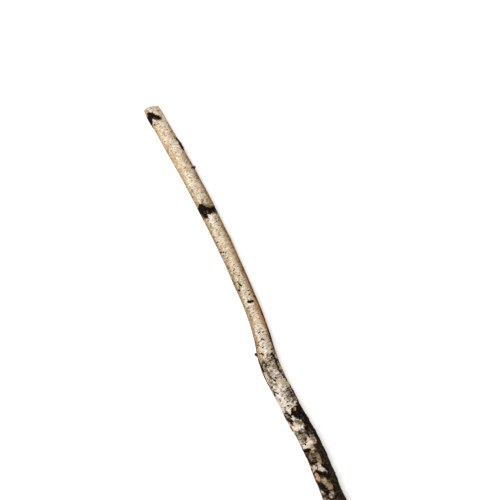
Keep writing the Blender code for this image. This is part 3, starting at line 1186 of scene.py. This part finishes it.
def birch_bark(patch, dashes):
    """Papery birch bark, from the shares that the mesh carries."""
    material, tree, finish = new_material("birch_bark")
    finish["Specular IOR Level"].default_value = BARK_SPECULAR
    place = grown_place(tree)

    def mask(share, grain, raggedness, softness, offset=0.0):
        inputs = {
            "Share": share,
            "Place": stretch(tree, place, PATCH_FINENESS, offset),
            "Grain": grain,
            "Raggedness": raggedness,
            "Softness": softness,
        }
        return place_group(tree, patch, inputs)

    def cover(share, strength, under, over):
        return mix_colours(tree, calculate(tree, "MULTIPLY", share, strength), under, over)

    banded = cloud(tree, stretch(tree, place, BAND_FINENESS), 1.0, detail=4.0, roughness=0.6)
    colour = mix_colours(tree, ramp(tree, banded, 0.36, 0.62), CREAM, LIGHT_CREAM)
    for layer in LAYERS:
        share = field_value(tree, layer.field)
        patches = mask(share, layer.grain, layer.raggedness, layer.softness, layer.offset)
        colour = mix_colours(tree, patches, colour, layer.colour)

    amount = field_value(tree, "dashes")
    dash = place_group(tree, dashes, {"Amount": amount, "Place": place, "Scale": 0.32, "Size": 0.42})
    colour = cover(dash, DASH_COVER, colour, DASH_BROWN)
    speck = place_group(tree, dashes, {"Amount": 0.30, "Place": place, "Scale": 0.75, "Size": 0.36})
    colour = cover(speck, SPECK_COVER, colour, WARM_BROWN)
    mottle = cloud(tree, stretch(tree, place, MOTTLE_FINENESS), 0.42, detail=5.0, roughness=0.75)
    freckle = ramp(tree, mottle, 0.36, 0.64, to_low=0.58, to_high=1.24)
    mottle_tint = add_node(tree, "ShaderNodeCombineColor", {"Red": freckle, "Green": freckle, "Blue": freckle})
    colour = mix_colours(tree, 1.0, colour, mottle_tint.outputs["Color"], "MULTIPLY")

    dark = field_value(tree, "dark")
    near_dark = calculate(tree, "ADD", dark, ramp(tree, dark, 0.2, 0.6, to_high=0.16))
    colour = cover(mask(near_dark, 0.26, 1.9, 0.16), FRINGE_COVER, colour, FRINGE_BROWN)
    soot = ramp(tree, cloud(tree, place, 0.30, detail=5.0, roughness=0.7), 0.44, 0.62)
    elsewhere = stretch(tree, place, (1.0, 1.0, 1.0), offset=19.0)
    scorched = ramp(tree, cloud(tree, elsewhere, 0.26, detail=5.0, roughness=0.7), 0.53, 0.70)
    sooty = mix_colours(tree, soot, BLACK_BROWN, SMOKY_BROWN)
    burnt = mix_colours(tree, scorched, BLACK_BROWN, SCORCHED_BROWN)
    sooty = mix_colours(tree, ramp(tree, field_value(tree, "charred"), 0.3, 0.7), sooty, burnt)
    dark_mask = mask(dark, 0.26, 2.1, 0.08)
    colour = mix_colours(tree, dark_mask, colour, sooty)
    colour = mix_colours(tree, mask(field_value(tree, "rust"), 0.35, 1.6, 0.22), colour, RUST)

    streak = cloud(tree, stretch(tree, place, STREAK_FINENESS), 1.0)
    heart = mix_colours(tree, ramp(tree, streak, 0.38, 0.62), ORANGE_WOOD, SALMON_WOOD)
    colour = mix_colours(tree, mask(field_value(tree, "wood"), 0.8, 0.5, 0.12), colour, heart)
    tree.links.new(colour, finish["Base Color"])
    rough = ramp(tree, dark_mask, 0.0, 1.0, to_low=0.62, to_high=0.86)
    tree.links.new(rough, finish["Roughness"])

    grain = cloud(tree, stretch(tree, place, GRAIN_FINENESS), 1.0, detail=5.0, roughness=0.65)
    height = calculate(tree, "MULTIPLY", grain, GRAIN_RELIEF)
    height = calculate(tree, "ADD", height, calculate(tree, "MULTIPLY", dash, DASH_RELIEF))
    gritty = cloud(tree, place, 0.9, detail=5.0, roughness=0.7)
    height = calculate(tree, "ADD", height, calculate(tree, "MULTIPLY", gritty, dark_mask))
    add_bump(tree, finish, height, strength=0.55, distance=0.0008)
    return material


WOOD_PALE = (0.520, 0.370, 0.215, 1.0)
WOOD_RING = (0.300, 0.175, 0.085, 1.0)
WOOD_GREY = (0.270, 0.225, 0.170, 1.0)
PITH = (0.095, 0.055, 0.030, 1.0)

# The rings: how far they are bent, in millimetres, how close they lie and how far they stand out.
RING_STIR = (2.2, 2.2, 0.0)
RING_FINENESS = 4.2
RING_RELIEF = 0.4

# The pith: where it begins and where it is darkest, in millimetres from the middle.
PITH_EDGE = 1.6
PITH_CORE = 0.7

# The checks: their number, how wide they are, and how far from the middle each starts, in millimetres.
CHECKS = 5
CHECK_WIDTH = 0.06
NEAREST_CHECK = 2.0
FARTHEST_CHECK = 13.0
CHECK_COVER = 0.8

# How much the grey weathering covers, and how fine the scratches of the saw are.
WEATHER_COVER = 0.65
SAW_FINENESS = (0.25, 3.0, 1.0)


def sawn_wood():
    """The sawn ends: yearly rings about a small pith, fine checks and grey weathering."""
    material, tree, finish = new_material("sawn_wood")
    flat = stretch(tree, grown_place(tree), (1.0, 1.0, 0.0))
    stir = add_node(tree, "ShaderNodeTexNoise", {"Vector": flat, "Scale": 0.12, "Detail": 2.0})
    bent = add_node(
        tree,
        "ShaderNodeVectorMath",
        {0: stir.outputs["Color"], 1: RING_STIR, 2: flat},
        operation="MULTIPLY_ADD",
    )
    far = add_node(tree, "ShaderNodeVectorMath", {0: bent.outputs[0]}, operation="LENGTH").outputs["Value"]
    wave = calculate(tree, "SINE", calculate(tree, "MULTIPLY", far, RING_FINENESS))
    ring = ramp(tree, wave, 0.2, 0.95)
    colour = mix_colours(tree, ring, WOOD_PALE, WOOD_RING)
    weather = ramp(tree, cloud(tree, flat, 0.20, detail=4.0, roughness=0.6), 0.42, 0.66)
    colour = mix_colours(tree, calculate(tree, "MULTIPLY", weather, WEATHER_COVER), colour, WOOD_GREY)

    parts = add_node(tree, "ShaderNodeSeparateXYZ", {"Vector": flat})
    angle = calculate(tree, "ARCTAN2", parts.outputs["X"], parts.outputs["Y"])
    uneven = calculate(tree, "MULTIPLY", calculate(tree, "SINE", calculate(tree, "ADD", angle, 0.7)), 1.1)
    spoke = calculate(tree, "ADD", calculate(tree, "MULTIPLY", angle, CHECKS / 2), uneven)
    spoke = calculate(tree, "ABSOLUTE", calculate(tree, "SINE", spoke))
    start = ramp(tree, cloud(tree, flat, 0.10), 0.40, 0.60, NEAREST_CHECK, FARTHEST_CHECK)
    begun = ramp(tree, calculate(tree, "SUBTRACT", far, start), 0.0, 3.0)
    check = calculate(tree, "MULTIPLY", ramp(tree, spoke, CHECK_WIDTH, 0.0), begun)
    colour = mix_colours(tree, calculate(tree, "MULTIPLY", check, CHECK_COVER), colour, PITH)
    colour = mix_colours(tree, ramp(tree, far, PITH_EDGE, PITH_CORE), colour, PITH)
    tree.links.new(colour, finish["Base Color"])
    rough = ramp(tree, weather, 0.0, 1.0, to_low=0.70, to_high=0.88)
    tree.links.new(rough, finish["Roughness"])

    scratch = cloud(tree, stretch(tree, flat, SAW_FINENESS), 1.0)
    height = calculate(tree, "ADD", calculate(tree, "MULTIPLY", ring, RING_RELIEF), scratch)
    height = calculate(tree, "SUBTRACT", height, check)
    add_bump(tree, finish, height, strength=0.6, distance=0.0004)
    return material


def twig_bark(patch):
    """The dark bark of the twig stubs, with torn wood showing through."""
    material, tree, finish = new_material("twig_bark")
    place = add_node(tree, "ShaderNodeTexCoord").outputs["Object"]
    fine = stretch(tree, place, (1 / MM, 1 / MM, 1 / MM))
    streak = ramp(tree, cloud(tree, fine, 0.9), 0.42, 0.64)
    colour = mix_colours(tree, streak, BLACK_BROWN, SMOKY_BROWN)
    torn = {"Share": 0.36, "Place": fine, "Grain": 0.5, "Raggedness": 1.2, "Softness": 0.1}
    colour = mix_colours(tree, place_group(tree, patch, torn), colour, WARM_BROWN)
    tree.links.new(colour, finish["Base Color"])
    rough = ramp(tree, streak, 0.0, 1.0, to_low=0.72, to_high=0.88)
    tree.links.new(rough, finish["Roughness"])
    add_bump(tree, finish, streak, strength=0.5, distance=0.0004)
    return material


FLOOR_HALF = 20.0
FLOOR_COLOUR = (0.93, 0.93, 0.925, 1.0)
FLOOR_ROUGHNESS = 0.9
FLOOR_GLOW = 0.32


def make_floor():
    """The pale floor, which glows a little so that it looks white in the photograph's view."""
    bm = bmesh.new()
    bmesh.ops.create_grid(bm, x_segments=1, y_segments=1, size=FLOOR_HALF)
    mesh = mesh_of(bm, "floor")
    material, _, finish = new_material("pale_floor")
    finish["Base Color"].default_value = FLOOR_COLOUR
    finish["Roughness"].default_value = FLOOR_ROUGHNESS
    finish["Emission Color"].default_value = FLOOR_COLOUR
    finish["Emission Strength"].default_value = FLOOR_GLOW
    mesh.materials.append(material)
    add_object("floor", mesh)


# The photograph looks straight down. Its frame is given by the size of a pixel on the branch, by the way the
# branch runs in the picture, and by the pixel where the middle of the thin end lies.
PICTURE_PIXELS = 500
PIXEL_SIZE = 0.00175
PICTURE_SLANT = math.radians(25.13)
THIN_END_PIXEL = (151.3, 107.5)
FOCUS_HEIGHT = 0.022
LENS = 100.0
SENSOR = 36.0


def picture_axes():
    """The directions in the scene that are right and up in the picture."""
    right = Vector((-math.sin(PICTURE_SLANT), -math.cos(PICTURE_SLANT), 0.0))
    up = Vector((math.cos(PICTURE_SLANT), -math.sin(PICTURE_SLANT), 0.0))
    return right, up


def picture_centre(shift):
    """The place in the scene that lies in the middle of the picture."""
    right, up = picture_axes()
    across = PICTURE_PIXELS / 2 - THIN_END_PIXEL[0]
    down = PICTURE_PIXELS / 2 - THIN_END_PIXEL[1]
    thin_end = Vector((LENGTH / 2, 0.0, 0.0)) + shift
    return thin_end + (right * across - up * down) * PIXEL_SIZE


def make_camera(shift):
    """The camera of the photograph's view, high enough for a pixel to have its size on the branch."""
    right, up = picture_axes()
    data = bpy.data.cameras.new("camera")
    data.lens = LENS
    data.sensor_width = SENSOR
    camera = add_object("camera", data)
    distance = PICTURE_PIXELS * PIXEL_SIZE * LENS / SENSOR
    spot = picture_centre(shift) + Vector((0.0, 0.0, FOCUS_HEIGHT + distance))
    turned = Matrix((right, up, right.cross(up))).transposed().to_4x4()
    camera.matrix_world = Matrix.Translation(spot) @ turned
    bpy.context.scene.camera = camera


SKY_COLOUR = (1.0, 1.0, 1.0, 1.0)
SKY_STRENGTH = 0.52
KEY_STRENGTH = 34.0
KEY_SIZE = 1.8
KEY_PLACE = (-0.75, 0.30, 1.45)


def make_light(shift):
    """A white surround, and one large soft lamp above the picture's upper left."""
    world = bpy.data.worlds.new("studio")
    world.use_nodes = True
    background = world.node_tree.nodes["Background"]
    background.inputs["Color"].default_value = SKY_COLOUR
    background.inputs["Strength"].default_value = SKY_STRENGTH
    bpy.context.scene.world = world

    right, up = picture_axes()
    lamp = bpy.data.lights.new("key_lamp", "AREA")
    lamp.shape = "SQUARE"
    lamp.size = KEY_SIZE
    lamp.energy = KEY_STRENGTH
    key = add_object("key_lamp", lamp)
    centre = picture_centre(shift)
    across, upward, height = KEY_PLACE
    key.location = centre + right * across + up * upward + Vector((0.0, 0.0, height))
    key.rotation_mode = "QUATERNION"
    key.rotation_quaternion = (centre - key.location).to_track_quat("-Z", "Y")


def main():
    patch = ragged_patch_group()
    dashes = cross_dash_group()
    bark = birch_bark(patch, dashes)
    stem, shift = make_stem(bark, sawn_wood())
    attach(stem, BODY)
    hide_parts(NODE)
    twig = twig_bark(patch)
    for number, stub in enumerate(STUBS, start=1):
        piece = make_stub(number, stub, shift, twig)
        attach(piece, BODY)

    make_floor()
    make_camera(shift)
    make_light(shift)
    bpy.context.scene.view_settings.view_transform = "Standard"


main()
